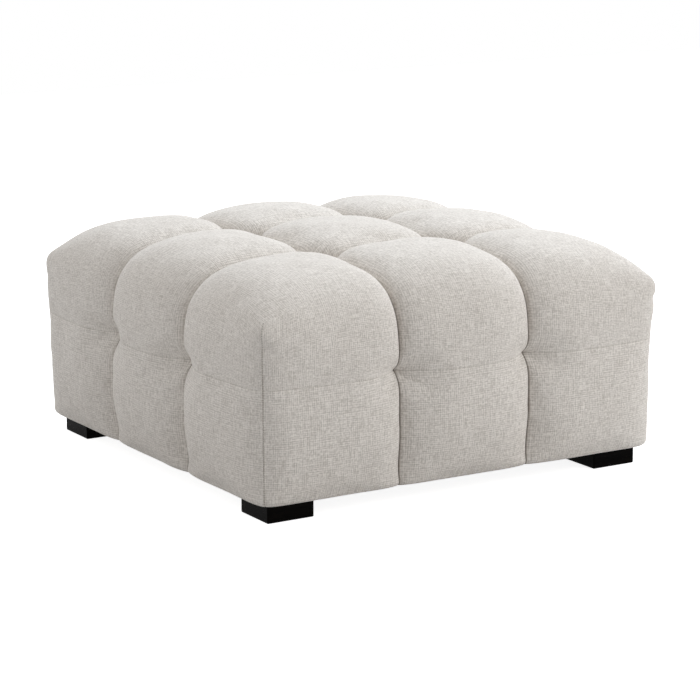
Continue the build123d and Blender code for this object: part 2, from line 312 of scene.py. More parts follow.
# %% Seams, dart and hem on a side
mid_pull_depth = 0.0003
mid_pull_reach = 0.014
groove_depth = 0.0006
groove_reach = 0.0012
corner_groove_depth = 0.0014
corner_groove_reach = 0.0012
dart_height = 0.377
dart_fade = 0.008
dart_dimple = 0.003
dart_width = 0.009
dart_length = 0.012
ear_rise = 0.0052
ear_reach = 0.030
ear_height = 0.352
ear_height_reach = 0.058
hem_round = 0.012


def pulled_on_side(along, height):
    """Depth below the taut outside on a side, from the place along it and the height.

    The hem is a quarter circle of hem_round at the foot: r - sqrt(r² - h²).
    """
    to_seam = np.abs(height - seam_height)
    drawn = cleft_and_tuft(along, height) + mid_pull_depth * near(to_seam, mid_pull_reach)
    drawn += groove_depth * near(to_seam, groove_reach)
    to_corner = belly_half - np.abs(along)
    folded_up = belly_half + crest_height - height
    calm = 1.0 - near(to_corner, corner_calm_reach)
    crown_down = np.where(height > seam_height, crown(folded_up), 0.0)
    drawn -= crown_rise * crown(along) * crown_down * calm
    bowed = (1.0 - (along / belly_half) ** 2) * smooth((height - foot_height) / bow_start_height)
    drawn -= side_bow * bowed * (1.0 - above_seam(height))

    sewn = smooth((dart_height - height) / dart_fade)
    drawn += corner_groove_depth * near(to_corner, corner_groove_reach) * sewn
    drawn += dart_dimple * near(to_corner, dart_width) * near(height - dart_height, dart_length)
    drawn -= ear_rise * near(to_corner, ear_reach) * near(height - ear_height, ear_height_reach)
    hem = np.clip(hem_round - (height - foot_height), 0.0, hem_round)
    return drawn + hem_round - np.sqrt(hem_round ** 2 - hem ** 2)


print("side bows", np.round(-pulled_on_side(0.0, seam_height) * 1000, 1), "mm out at mid height")

# %% Uneven stuffing
slow_wave_height = 0.0010
quick_wave_height = 0.0006
stuffing_fade_depth = 0.02


def stuffing(places):
    """Uneven filling: two waves across the cover, whose lengths differ so that no cell repeats.

    Each is a sine times a cosine of sums of x, y and z, in radians.
    """
    x, y, z = places[..., 0], places[..., 1], places[..., 2]
    slow = np.sin(31.0 * x + 17.0 * y + 1.3) * np.cos(27.0 * y - 21.0 * z + 0.4)
    quick = np.sin(53.0 * y + 37.0 * z - 0.8) * np.cos(47.0 * x - 29.0 * z + 2.1)
    return slow_wave_height * slow + quick_wave_height * quick


print("stuffing waves", round((slow_wave_height + quick_wave_height) * 1000, 1), "mm high at most")

# %% [markdown]
# ## Grids that are fine where the cloth turns sharply
#
# The cloth is nearly flat on a crown and dives within a few millimetres beside a seam. An even
# grid fine enough for the seam would waste faces on the crown, so the grid lines crowd towards
# the seams. Each patch of the bare box is such a grid, and carries with it the place of each point
# on the flat cloth, which the weave will follow.

# %% Grid lines
def stations(low, high, tight, step=0.0045, finest=0.00025, growth=0.13, samples=6001):
    """Places from low to high, a step apart, with spacing that shrinks towards the tight places.

    The spacing wanted at each place is finest + growth * gap, at most a step. Adding up one over
    it counts the lines, and the lines stand where that count is whole.
    """
    places = np.linspace(low, high, samples)
    gap = np.min([np.abs(places - place) for place in tight], axis=0)
    density = 1 / np.minimum(step, finest + growth * gap)
    added = np.diff(places) * (density[1:] + density[:-1]) / 2
    count = np.concatenate([[0.0], np.cumsum(added)])
    lines = int(np.ceil(count[-1]))
    return np.interp(np.linspace(0.0, count[-1], lines + 1), count, places)


side_finest = 0.0005
outer_lines = stations(tuft_place, belly_half, (tuft_place, belly_half))
fine = {
    "middle": stations(-tuft_place, tuft_place, (-tuft_place, tuft_place)),
    "outer": outer_lines,
    "inner": -outer_lines[::-1],
    "upper": stations(seam_height, crest_height, (seam_height,), finest=side_finest),
    "lower": stations(foot_height, seam_height, (foot_height, seam_height), finest=side_finest),
}
print("grid lines", {name: len(lines) for name, lines in fine.items()})

# %% A patch of the box, and the foam under it
# Reach of the painted shade in the clefts, where two cells touch and no light gets in.
cleft_shade_reach = 0.0015


def patch(face, along, up):
    """One face's grid on the bare box: (points, place on the flat cloth, depth drawn in, painted
    shade).

    The flat cloth is the box's five faces folded out round its top, in metres. The painted shade is
    1 in a cleft, where two cells touch and no light gets in, and fades as a bell over its reach.
    """
    a, b = np.meshgrid(along, up, indexing="ij")
    gap_a, gap_b = (np.abs(np.abs(place) - tuft_place) for place in (a, b))
    wall, top = np.full_like(a, belly_half), np.full_like(a, crest_height)
    if face == "top":
        points, cloth, drawn = (a, b, top), (a, b), pulled_on_top(a, b)
    elif face == "front":
        points, cloth, drawn = (a, -wall, b), (a, b - crest_height - wall), pulled_on_side(a, b)
    else:
        points, cloth, drawn = (wall, a, b), (crest_height + wall - b, a), pulled_on_side(a, b)
    gap = np.minimum(gap_a, gap_b) if face == "top" else gap_a
    return np.stack(points, -1), np.stack(cloth, -1), drawn, near(gap, cleft_shade_reach)


def core(points):
    """Where the padding under each point of the box lies against the foam and the frame."""
    place = np.abs(points[..., :2])
    beyond = (place - tuft_place) * (core_half - tuft_place) / (belly_half - tuft_place)
    flat = np.where(place > tuft_place, tuft_place + beyond, place)
    above = np.maximum(points[..., 2] - seam_height, 0.0)
    lowered = above * (1.0 - (core_top - seam_height) / (crest_height - seam_height))
    height = points[..., 2] - lowered
    return np.concatenate([np.sign(points[..., :2]) * flat, height[..., None]], -1)


print("patch of the middle", patch("top", fine["middle"], fine["middle"])[0].shape)

# %% [markdown]
# ## Templates of the cover
#
# The middle biscuit has one patch. One at an edge has two, over the edge and down to the seam, and
# one at a corner has three. A border has a patch for each of its three cells. Only the front ones
# are worked out, and quarter turns give the rest, as a pattern cutter reuses a template.

# %% Patches of the front pieces
templates = {
    "biscuit_centre": [("top", "middle", "middle")],
    "biscuit_side": [("top", "middle", "inner"), ("front", "middle", "upper")],
    "biscuit_corner": [
        ("top", "outer", "inner"),
        ("front", "outer", "upper"),
        ("side", "inner", "upper"),
    ],
    "border": [("front", cell, "lower") for cell in ("inner", "middle", "outer")],
}


def laid(template, lines):
    """A template's patches, laid on those grid lines."""
    return [patch(face, lines[along], lines[up]) for face, along, up in templates[template]]


def numbered(shape, first):
    """The numbers of a grid's points, counted from first."""
    return first + np.arange(shape[0] * shape[1]).reshape(shape)


def grid_quads(shape, first):
    """The four corner numbers of every quad of a grid whose points are numbered from first."""
    number = numbered(shape, first)
    corners = (number[:-1, :-1], number[1:, :-1], number[1:, 1:], number[:-1, 1:])
    return np.stack(corners, -1).reshape(-1, 4)


def joined(patches):
    """Patches sewn together where they meet on the box.

    The result is their places on the box, the depth drawn in at each, the first of each shared
    place, each place's number among those, the quads, and each patch's shape and first number.
    """
    box = np.concatenate([points.reshape(-1, 3) for points, _, _, _ in patches])
    depth = np.concatenate([drawn.ravel() for _, _, drawn, _ in patches])
    _, kept, welded = np.unique(np.round(box, 6), axis=0, return_index=True, return_inverse=True)
    shapes = [points.shape[:2] for points, _, _, _ in patches]
    starts = np.cumsum([0] + [rows * columns for rows, columns in shapes])
    quads = np.concatenate([grid_quads(shape, first) for shape, first in zip(shapes, starts)])
    return box, depth, kept, welded.ravel(), quads, list(zip(shapes, starts))


print("templates", {name: len(patches) for name, patches in templates.items()})

# %% [markdown]
# ## Blow the cells up as cloth
#
# The formula gives the depth and the width of the clefts, but real cloth also stretches where the
# stuffing presses and puckers where the cords hold it. So each template is cut out once more on a
# coarse grid, pinned along its seams, and blown up as simulated cloth with a little slack. How far
# each point moves is capped, and spread smoothly over the fine grid with a cubic spline. Running
# the simulation on the fine grid itself would take minutes and would lose the crisp seams.

# %% Simulate the slack of each template
coarse_step = 0.007
pressure = 4.0
slack = 0.004
most_move = 0.010
last_frame = 20


def coarsened(line):
    """Evenly spaced places, at most coarse_step apart, over the same length as a fine line."""
    return np.linspace(line[0], line[-1], int(np.ceil(np.ptp(line) / coarse_step)) + 1)


coarse = {name: coarsened(line) for name, line in fine.items()}


def sewn_down(box):
    """Which places on the box are pinned: the clefts, the mid seam, the foot and the corner."""
    flat, height = np.abs(box[:, :2]), box[:, 2]
    sewn = np.isclose(flat, tuft_place).any(1)
    sewn |= np.isclose(height, seam_height) | np.isclose(height, foot_height)
    return sewn | np.isclose(flat, belly_half).all(1) & (height < dart_height)


def settle(piece):
    """The points of an object after its cloth has been blown up, then the object is taken away."""
    cloth = piece.modifiers.new("cloth", "CLOTH")
    cloth.settings.vertex_group_mass = "sewn"
    cloth.settings.use_pressure = True
    cloth.settings.uniform_pressure_force = pressure
    cloth.settings.effector_weights.gravity = 0.0
    cloth.settings.shrink_min = -slack
    cloth.point_cache.frame_end = last_frame
    for number in range(1, last_frame + 1):
        scene.frame_set(number)
    mesh = piece.data
    settled = np.empty(3 * len(mesh.vertices), np.float32)
    blown_up = piece.evaluated_get(bpy.context.evaluated_depsgraph_get())
    blown_up.data.vertices.foreach_get("co", settled)
    scene.frame_set(1)
    bpy.data.objects.remove(piece)
    bpy.data.meshes.remove(mesh)
    return settled.reshape(-1, 3)


def blown(template):
    """How far each point of the coarse template moves under pressure, as one grid per patch.

    A move is held softly under most_move m by m * tanh(length / m).
    """
    box, depth, kept, welded, quads, grids = joined(laid(template, coarse))
    place, way = outside(box)
    skin = (place - way * depth[:, None])[kept]
    mesh = bpy.data.meshes.new(template)
    mesh.from_pydata(skin, [], welded[quads].tolist())
    piece = bpy.data.objects.new(template, mesh)
    scene.collection.objects.link(piece)
    pins = piece.vertex_groups.new(name="sewn")
    pins.add(np.flatnonzero(sewn_down(box[kept])).tolist(), 1.0, "REPLACE")

    moved = settle(piece) - skin
    length = np.linalg.norm(moved, axis=1, keepdims=True)
    moved *= most_move * np.tanh(length / most_move) / np.maximum(length, least_length)
    print(template, "points", len(kept), "most moved", np.round(length.max() * 1000, 1), "mm")
    return [moved[welded[numbered(shape, first)]] for shape, first in grids]


# %% Spread the moves over the fine grids
def spread(few, many):
    """The share of each evenly spaced place in few that a place in many takes.

    It is a cubic B-spline. Past an end its values go on turned about the end value, so an end
    keeps its own value and neighbouring patches still meet.
    """
    at = (many - few[0]) / (few[1] - few[0])
    first = np.clip(np.floor(at).astype(int), 0, len(few) - 2)
    u = at - first
    weights = np.stack([
        (1 - u) ** 3,
        3 * u ** 3 - 6 * u ** 2 + 4,
        -3 * u ** 3 + 3 * u ** 2 + 3 * u + 1,
        u ** 3,
    ]) / 6
    wide = np.zeros((len(many), len(few) + 2))
    for step in range(4):
        wide[np.arange(len(many)), first + step] += weights[step]
    wide[:, 1] += 2 * wide[:, 0]
    wide[:, 2] -= wide[:, 0]
    wide[:, -2] += 2 * wide[:, -1]
    wide[:, -3] -= wide[:, -1]
    return wide[:, 1:-1]


def slackened(template):
    """The moves of a template's cloth at every point of its fine grids."""
    moves = []
    for (_, along, up), grid in zip(templates[template], blown(template)):
        rows, columns = spread(coarse[along], fine[along]), spread(coarse[up], fine[up])
        moves.append(np.einsum("ia,abk,jb->ijk", rows, grid, columns).reshape(-1, 3))
    return np.concatenate(moves)


slack_moves = {template: slackened(template) for template in templates}
print("fine points moved", sum(len(moves) for moves in slack_moves.values()))

# %% [markdown]
# ## From patches to closed cushions
#
# Each biscuit is a closed cushion: a skin outside, flat where it rests on the foam, and walls
# between, down in the clefts. A single open sheet would look the same from outside, but a closed
# body is what the real thing is, and it can be cut, lit and weighed as one. The skins of one
# biscuit meet along the box's edges, so their shared points are welded by their place on the box.

# %% Turn a template, and close a skin
def turned(points, turns):
    """Points turned about the upright axis by quarter turns: each swaps x and y once."""
    for _ in range(turns % 4):
        points = np.concatenate([-points[..., 1:2], points[..., 0:1], points[..., 2:]], -1)
    return points


def ring(shape, first):
    """The numbers round a grid's edge, in order."""
    number = numbered(shape, first)
    return np.concatenate([number[:-1, 0], number[-1, :-1], number[:0:-1, -1], number[0, :0:-1]])


def rim(quads, welded, count):
    """The edges that only one quad has, once the count of welded points is joined up."""
    edges = np.stack([quads, np.roll(quads, -1, axis=1)], -1).reshape(-1, 2)
    keys = np.sort(welded[edges], axis=1) @ np.array([count, 1])
    _, which, times = np.unique(keys, return_inverse=True, return_counts=True)
    return edges[times[which.ravel()] == 1].T


print("a quarter turn takes the front to the right:", turned(np.array([0.0, -1.0, 0.0]), 1))

# %% Make one closed cushion
sharp_angle = np.radians(50)


def drop_loose_points(mesh):
    """Take away the points that no face uses, which are those inside a lining."""
    used = np.empty(len(mesh.loops), np.int32)
    mesh.loops.foreach_get("vertex_index", used)
    loose = np.setdiff1d(np.arange(len(mesh.vertices)), used)
    shell = bmesh.new()
    shell.from_mesh(mesh)
    shell.verts.ensure_lookup_table()
    bmesh.ops.delete(shell, geom=[shell.verts[number] for number in loose], context="VERTS")
    shell.to_mesh(mesh)
    shell.free()


def cushion(name, template, turns):
    """A closed mesh object: skins outside, flat linings on the core, and walls that join them."""
    patches = laid(template, fine)
    box, depth, kept, welded, quads, grids = joined(patches)
    cloth = np.concatenate([flat.reshape(-1, 2) for _, flat, _, _ in patches])
    # Painted shade in the clefts at each point, which darkens the cloth's colour.
    cleft_shade = np.concatenate([folded.ravel() for _, _, _, folded in patches])
    place, way = (turned(points, turns) for points in outside(box))
    filled = stuffing(place) * np.clip(1 - depth / stuffing_fade_depth, 0, 1)
    skin = place + way * (filled - depth)[:, None]
    skin += turned(slack_moves[template], turns)
    inside = turned(core(box), turns)

    count = len(kept)
    a, b = rim(quads, welded, count)
    walls = np.stack([welded[b], welded[a], welded[a] + count, welded[b] + count], -1)
    rings = [ring(shape, first)[::-1] for shape, first in grids]
    linings = [(welded[around] + count).tolist() for around in rings]
    corners = np.concatenate([quads.ravel(), np.stack([b, a, a, b], -1).ravel(), *rings])

    mesh = bpy.data.meshes.new(name)
    points = np.concatenate([skin[kept], inside[kept]])
    mesh.from_pydata(points, [], welded[quads].tolist() + walls.tolist() + linings)
    # Painted cleft shade for each point: the linings, down in the clefts, take all of it.
    folds = np.concatenate([cleft_shade[kept], np.ones(count)]).astype(np.float32)
    mesh.attributes.new("cleft_shade", "FLOAT", "POINT").data.foreach_set("value", folds)
    layer = mesh.uv_layers.new(name="cloth")
    layer.data.foreach_set("uv", cloth[corners].astype(np.float32).ravel())
    drop_loose_points(mesh)
    mesh.shade_smooth()
    mesh.set_sharp_from_angle(angle=sharp_angle)
    piece = bpy.data.objects.new(name, mesh)
    scene.collection.objects.link(piece)
    return piece


print("folds sharper than", round(np.degrees(sharp_angle)), "degrees stay sharp")

# %% [markdown]
# ## The nine biscuits and the four borders
#
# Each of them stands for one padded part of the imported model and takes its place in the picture.
# They could be left as one joined cover, but the real one is sewn from such pieces, and with one
# object each they can be hidden, moved or finished on their own.

# %% Make all the cushions
sides = ("front", "right", "back", "left")
corners = ("front_right", "back_right", "back_left", "front_left")

cushions = {"biscuit_centre": cushion("cushion_centre", "biscuit_centre", 0)}
for turns, (side, corner) in enumerate(zip(sides, corners)):
    cushions["biscuit_" + side] = cushion("cushion_" + side, "biscuit_side", turns)
    cushions["biscuit_" + corner] = cushion("cushion_" + corner, "biscuit_corner", turns)
    cushions["border_" + side] = cushion("border_cushion_" + side, "border", turns)
for node, piece in cushions.items():
    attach(piece, "root")
    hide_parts(node)
face_count = sum(len(piece.data.polygons) for piece in cushions.values())
print("cushions", len(cushions), "faces", face_count)

# %% [markdown]
# ## Node helpers
#
# Every finish below is a small network of texture and maths nodes. A few helpers keep them short:
# add() makes a node and sets it, calc(), ramp() and blend() do sums on sockets or plain values,
# noise() and stretched() give grain along one way, and material() and bumped() start and end one.
# The nodes could be drawn by hand in the shader editor, but a script can repeat them exactly.

# %% Nodes and sums
def add(tree, kind, inputs=(), **settings):
    """A new node with its settings and its inputs, each a socket to link or a plain value."""
    node = tree.nodes.new(kind)
    for name, value in settings.items():
        setattr(node, name, value)
    for name, value in dict(inputs).items():
        if isinstance(value, bpy.types.NodeSocket):
            tree.links.new(value, node.inputs[name])
        else:
            node.inputs[name].default_value = value
    return node


def calc(tree, operation, *values):
    """The result of one maths node."""
    return add(tree, "ShaderNodeMath", dict(enumerate(values)), operation=operation).outputs[0]


def ramp(tree, value, low, high, from_low=0.0, from_high=1.0):
    """A value mapped smoothly from one range to another, and held at its ends."""
    ranges = {"Value": value, "From Min": from_low, "From Max": from_high}
    ranges |= {"To Min": low, "To Max": high}
    node = add(tree, "ShaderNodeMapRange", ranges, interpolation_type="SMOOTHSTEP")
    return node.outputs["Result"]


def blend(tree, share, first, second, mode="MIX"):
    """Two colours mixed by a share. A mix node's colour sockets are its inputs 6 and 7."""
    inputs = {0: share, 6: first, 7: second}
    return add(tree, "ShaderNodeMix", inputs, data_type="RGBA", blend_type=mode).outputs[2]


# %% Noise, bumps and materials
noise_range = (0.35, 0.65)
wide_noise_range = (0.3, 0.7)


def stretched(tree, source, scales):
    """Coordinates multiplied by three scales, so that a noise is drawn out along one way."""
    return add(tree, "ShaderNodeMapping", {"Vector": source, "Scale": scales}).outputs["Vector"]


def noise(tree, vector, scale=1.0, detail=2.0, roughness=0.5):
    """A noise value from about 0.25 to 0.75 at those coordinates."""
    inputs = {"Vector": vector, "Scale": scale, "Detail": detail, "Roughness": roughness}
    return add(tree, "ShaderNodeTexNoise", inputs).outputs["Fac"]


def material(name, roughness, **plain):
    """A new material: (material, its node tree, its shader). plain values go on the shader."""
    made = bpy.data.materials.new(name)
    made.use_nodes = True
    shader = made.node_tree.nodes["Principled BSDF"]
    shader.inputs["Roughness"].default_value = roughness
    for socket, value in plain.items():
        shader.inputs[socket.replace("_", " ")].default_value = value
    return made, made.node_tree, shader


def bumped(tree, shader, height, strength, distance):
    """Give a shader bumps that follow a height value, distance metres high at most."""
    inputs = {"Height": height, "Strength": strength, "Distance": distance}
    normal = add(tree, "ShaderNodeBump", inputs).outputs["Normal"]
    tree.links.new(normal, shader.inputs["Normal"])


# %% [markdown]
# ## Linen-look cloth
#
# The cloth is a plain weave of slubby yarn, some threads a shade darker than their neighbours, so
# it looks heathered from a step away. An image would give that quickly but would tile and blur.
# Here a cosine for the warp and one for the weft, added up, raise the crossings. Noises that are
# drawn out along the threads give each its own shade: long runs, shorter dashes, and a few thick
# slubs. The pattern reads the flat cloth's own map, so the threads stay level and upright as they
# pass over the edge, and a slow sway keeps them from looking ruled.

# %% Threads and their crossings
thread_pitch = 0.0041
sway_width = 0.003
cloud_scale = 9.0

linen, tree, shader = material(
    "linen", 0.92, Sheen_Weight=0.20, Sheen_Roughness=0.45, Specular_IOR_Level=0.25)
cloth_map = add(tree, "ShaderNodeUVMap", uv_map="cloth").outputs["UV"]
sway = calc(tree, "SUBTRACT", noise(tree, cloth_map, scale=cloud_scale, detail=1.0), 0.5)
sideways = calc(tree, "MULTIPLY", sway, sway_width)
swayed = add(tree, "ShaderNodeVectorMath", {0: cloth_map, 1: sideways}, operation="ADD")
woven = swayed.outputs["Vector"]
threads = add(tree, "ShaderNodeSeparateXYZ", {"Vector": woven})


def thread_wave(axis):
    """A cosine along an axis of the flat cloth, with a crest for each thread that it crosses."""
    phase = calc(tree, "MULTIPLY", threads.outputs[axis], 2.0 * np.pi / thread_pitch)
    return calc(tree, "COSINE", phase)


crossing = calc(tree, "ADD", thread_wave("X"), thread_wave("Y"))
print("threads", round(thread_pitch * 1000, 1), "mm apart")

# %% Shades of the yarn
run_scales, run_weight = (30.0, 460.0), 0.16
dash_scales, dash_weight = (150.0, 640.0), 0.21
slub_scales, slub_weight, slub_range = (34.0, 420.0), 0.025, (0.57, 0.70)
crossing_weight = 0.029
shade_range = (0.24, 0.49)


def yarn_noise(scales, detail):
    """Noise drawn out along the weft, then along the warp, scaled along and across a thread."""
    along, across = scales
    both = ((along, across, 1.0), (across, along, 1.0))
    return [noise(tree, stretched(tree, woven, way), detail=detail) for way in both]


runs = calc(tree, "ADD", *yarn_noise(run_scales, 0.0))
dashes = calc(tree, "ADD", *yarn_noise(dash_scales, 0.0))
slub_parts = [ramp(tree, part, 0.0, 1.0, *slub_range) for part in yarn_noise(slub_scales, 2.0)]
slubs = calc(tree, "ADD", *slub_parts)

shade_value = calc(
    tree, "ADD",
    calc(tree, "MULTIPLY", runs, run_weight),
    calc(tree, "MULTIPLY", dashes, dash_weight))
shade_value = calc(tree, "ADD", shade_value, calc(tree, "MULTIPLY", crossing, crossing_weight))
shade_value = calc(tree, "SUBTRACT", shade_value, calc(tree, "MULTIPLY", slubs, slub_weight))
shade_share = ramp(tree, shade_value, 0.0, 1.0, *shade_range)
print("runs of yarn about", round(1000 / run_scales[0]), "mm long")

# %% Colours of the cloth
linen_light = (0.828, 0.782, 0.730, 1.0)
linen_dark = (0.532, 0.488, 0.442, 1.0)
cloud_tint = (0.60, 0.55, 0.50, 1.0)
cloud_share = 0.04

yarn = blend(tree, shade_share, linen_dark, linen_light)
cloud = noise(tree, cloth_map, scale=cloud_scale, detail=3.0)
cloudy = ramp(tree, cloud, 0.0, cloud_share, *noise_range)
clouded = blend(tree, cloudy, yarn, cloud_tint, "MULTIPLY")
print("lightest yarn", linen_light[:3], "darkest", linen_dark[:3])

# %% [markdown]
# ## Stitched lines and painted shade
#
# The mid seam and the four corner seams are sewn through the cover, each with a thin groove and a
# row of needle holes. Modelled stitches would be smaller than a pixel, so the shape has only a
# shallow groove there, and the colour is given painted shade instead: a thin dark line for the
# shade in the groove, and at a corner for the shadow that the seam's fold casts. A sine along the
# seam makes that line darker at the needle holes than on the paler thread between them. The clefts
# get painted shade in the same way, where two cells touch and no light gets in.

# %% Where the seams and folds are, and their painted shade
# The dark colour of all painted shade on the cloth, in the seams' grooves and in the clefts.
painted_shade_tint = (0.20, 0.17, 0.14, 1.0)
mid_line, mid_seam_shade_share = (0.0006, 0.0016), 0.22
corner_line, corner_seam_shade_share = (0.0008, 0.0022), 0.55
corner_line_end = (dart_height - 0.004, dart_height + 0.002)
stitch_length = 0.0042
thread_share = 0.35
cleft_shade_share = 0.8

where = add(tree, "ShaderNodeTexCoord").outputs["Object"]
where = add(tree, "ShaderNodeSeparateXYZ", {"Vector": where})
x, y, z = (where.outputs[axis] for axis in "XYZ")


def apart(first, second):
    """How far apart two values are."""
    return calc(tree, "ABSOLUTE", calc(tree, "SUBTRACT", first, second))


def stitches(place):
    """Painted shade of the needle holes along a seam: 1 in a hole and thread_share on the thread
    between.
    """
    wave = calc(tree, "SINE", calc(tree, "MULTIPLY", place, 2.0 * np.pi / stitch_length))
    return ramp(tree, wave, thread_share, 1.0, -0.2, 0.5)


# Painted shade along the mid seam's groove, darkest at the needle holes.
on_seam = ramp(tree, apart(z, seam_height), 1.0, 0.0, *mid_line)
mid_shade = calc(tree, "MULTIPLY", on_seam, stitches(calc(tree, "ADD", x, y)))
mid_shade = calc(tree, "MULTIPLY", mid_shade, mid_seam_shade_share)

# Painted shadow along each corner seam below the dart, cast by the seam's fold, darkest at the
# holes.
off_corner = apart(calc(tree, "ABSOLUTE", x), calc(tree, "ABSOLUTE", y))
below_dart = ramp(tree, z, 1.0, 0.0, *corner_line_end)
on_corner = calc(tree, "MULTIPLY", ramp(tree, off_corner, 1.0, 0.0, *corner_line), below_dart)
corner_shade = calc(tree, "MULTIPLY", on_corner, stitches(z))
corner_shade = calc(tree, "MULTIPLY", corner_shade, corner_seam_shade_share)

painted_cleft_shade = add(tree, "ShaderNodeAttribute", attribute_name="cleft_shade").outputs["Fac"]
painted_cleft_shade = calc(tree, "MULTIPLY", painted_cleft_shade, cleft_shade_share)
# All painted shade together: the seam lines and the clefts.
painted_shade_share = calc(tree, "MAXIMUM", calc(tree, "MAXIMUM", mid_shade, corner_shade), painted_cleft_shade)
shaded_cloth_colour = blend(tree, painted_shade_share, clouded, painted_shade_tint)
tree.links.new(shaded_cloth_colour, shader.inputs["Base Color"])
print("stitches", round(stitch_length * 1000, 1), "mm long")

# %% Relief of the weave
crossing_relief, slub_relief, shade_relief = 0.16, 0.6, 0.8
weave_strength, weave_height = 0.40, 0.0005

relief = calc(
    tree, "ADD",
    calc(tree, "MULTIPLY", crossing, crossing_relief),
    calc(tree, "MULTIPLY", slubs, slub_relief))
relief = calc(tree, "ADD", relief, calc(tree, "MULTIPLY", shade_value, shade_relief))
bumped(tree, shader, relief, weave_strength, weave_height)
for piece in cushions.values():
    piece.data.materials.append(linen)
print("linen nodes", len(tree.nodes))

# %% [markdown]
# ## Black legs
#
# The legs are hardwood blocks stained nearly black, with a satin lacquer, so the grain shows
# mostly in the gloss. One noise drawn out along the block makes the grain, which changes both the
# stain and the gloss a little, and a finer one makes the pores. Plain black would look like
# plastic from close by.

# %% Stained wood
stain_dark = (0.0010, 0.0008, 0.0007, 1.0)
stain_light = (0.0030, 0.0023, 0.0019, 1.0)
pore_black = (0.0006, 0.0005, 0.0004, 1.0)
pore_share = 0.6
grain_scales = (14.0, 260.0, 260.0)
pore_scales = (60.0, 1500.0, 1500.0)
pore_range = (0.60, 0.72)
lacquer_roughness = (0.24, 0.38)
grain_strength, grain_height = 0.25, 0.0003

leg_wood, tree, shader = material("stained_wood", 0.30, Specular_IOR_Level=0.015)
place = add(tree, "ShaderNodeTexCoord").outputs["Object"]
grain = noise(tree, stretched(tree, place, grain_scales), detail=4.0, roughness=0.65)
pores = noise(tree, stretched(tree, place, pore_scales))
pores = ramp(tree, pores, 0.0, 1.0, *pore_range)
stain = blend(tree, ramp(tree, grain, 0.0, 1.0, *noise_range), stain_dark, stain_light)
stain = blend(tree, calc(tree, "MULTIPLY", pores, pore_share), stain, pore_black)
tree.links.new(stain, shader.inputs["Base Color"])
gloss = ramp(tree, grain, *lacquer_roughness, *wide_noise_range)
tree.links.new(gloss, shader.inputs["Roughness"])
bumped(tree, shader, calc(tree, "SUBTRACT", grain, pores), grain_strength, grain_height)
print("stained wood nodes", len(tree.nodes))

# %% [markdown]
# ## Finishes that the cover hides
#
# The frame, the foam and the fittings can be seen when the cover is taken off, so each has its own
# finish: pine with long fibres, plywood, hardboard, foam, spun cloth, zinc, cord and beech. All of
# them have two colours that run in fibres or grains, so one helper makes them all, with scales
# that are low along the fibre and high across it.

# %% Inner finishes
fibre_share = 0.75
tone_range = (0.38, 0.62)
gloss_change = 0.08
board_cloud_scale = 11.0
fibre_strength = 0.4


def fibrous(name, pale, dark, roughness, scales, relief):
    """A finish whose two colours follow one drawn-out noise, such as wood, board or cloth."""
    made, tree, shader = material(name, roughness)
    place = add(tree, "ShaderNodeTexCoord").outputs["Object"]
    fibre = noise(tree, stretched(tree, place, scales), detail=4.0, roughness=0.6)
    cloud = noise(tree, place, scale=board_cloud_scale, detail=2.0)
    tone = calc(
        tree, "ADD",
        calc(tree, "MULTIPLY", fibre, fibre_share),
        calc(tree, "MULTIPLY", cloud, 1.0 - fibre_share))
    colour = blend(tree, ramp(tree, tone, 0.0, 1.0, *tone_range), dark, pale)
    tree.links.new(colour, shader.inputs["Base Color"])
    ends = (roughness + gloss_change, roughness - gloss_change)
    gloss = ramp(tree, fibre, *ends, *wide_noise_range)
    tree.links.new(gloss, shader.inputs["Roughness"])
    bumped(tree, shader, fibre, fibre_strength, relief)
    return made


palette = {
    "pine": ((0.62, 0.42, 0.22, 1), (0.46, 0.27, 0.12, 1), 0.6, (10, 160, 160), 0.0004),
    "plywood": ((0.60, 0.43, 0.26, 1), (0.44, 0.29, 0.16, 1), 0.6, (8, 120, 700), 0.0003),
    "hardboard": ((0.22, 0.13, 0.07, 1), (0.14, 0.08, 0.04, 1), 0.7, (420, 420, 420), 0.0002),
    "foam": ((0.80, 0.76, 0.62, 1), (0.68, 0.63, 0.48, 1), 0.95, (900, 900, 900), 0.0008),
    "spun_cloth": (
        (0.022, 0.022, 0.023, 1), (0.010, 0.010, 0.011, 1), 0.9, (500, 500, 500), 0.0003),
    "cotton_cord": ((0.62, 0.57, 0.48, 1), (0.42, 0.38, 0.31, 1), 0.9, (900, 900, 900), 0.0003),
    "beech": ((0.60, 0.40, 0.25, 1), (0.48, 0.29, 0.17, 1), 0.5, (60, 600, 600), 0.0002),
    "zinc": ((0.60, 0.62, 0.64, 1), (0.46, 0.48, 0.50, 1), 0.35, (300, 300, 300), 0.0001),
}
materials = {name: fibrous(name, *values) for name, values in palette.items()}
materials["stained_wood"] = leg_wood
zinc_shader = materials["zinc"].node_tree.nodes["Principled BSDF"]
zinc_shader.inputs["Metallic"].default_value = 1.0
print("finishes", ", ".join(materials))

# %% Give each carried-over node its finish
finishes = {
    "leg_bolts": "zinc", "leg_sleeves": "zinc", "leg_": "stained_wood",
    "corner_": "pine", "lower_rail": "pine", "upper_rail": "pine", "studs": "pine",
    "deck_bearer": "pine", "deck_panel": "plywood", "side_panel": "hardboard",
    "side_foam": "foam", "deck_foam": "foam", "dust_cover": "spun_cloth",
    "top_tuft_cords": "cotton_cord", "side_tuft_cords": "cotton_cord",
    "top_tuft_toggles": "beech", "side_tuft_toggles": "beech",
}
carried = {node: held for node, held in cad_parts.items() if node not in cushions}
for node, held in carried.items():
    kind = next(start for start in finishes if node.startswith(start))
    held.data.materials.clear()
    held.data.materials.append(materials[finishes[kind]])
print("carried-over nodes with a finish", len(carried))

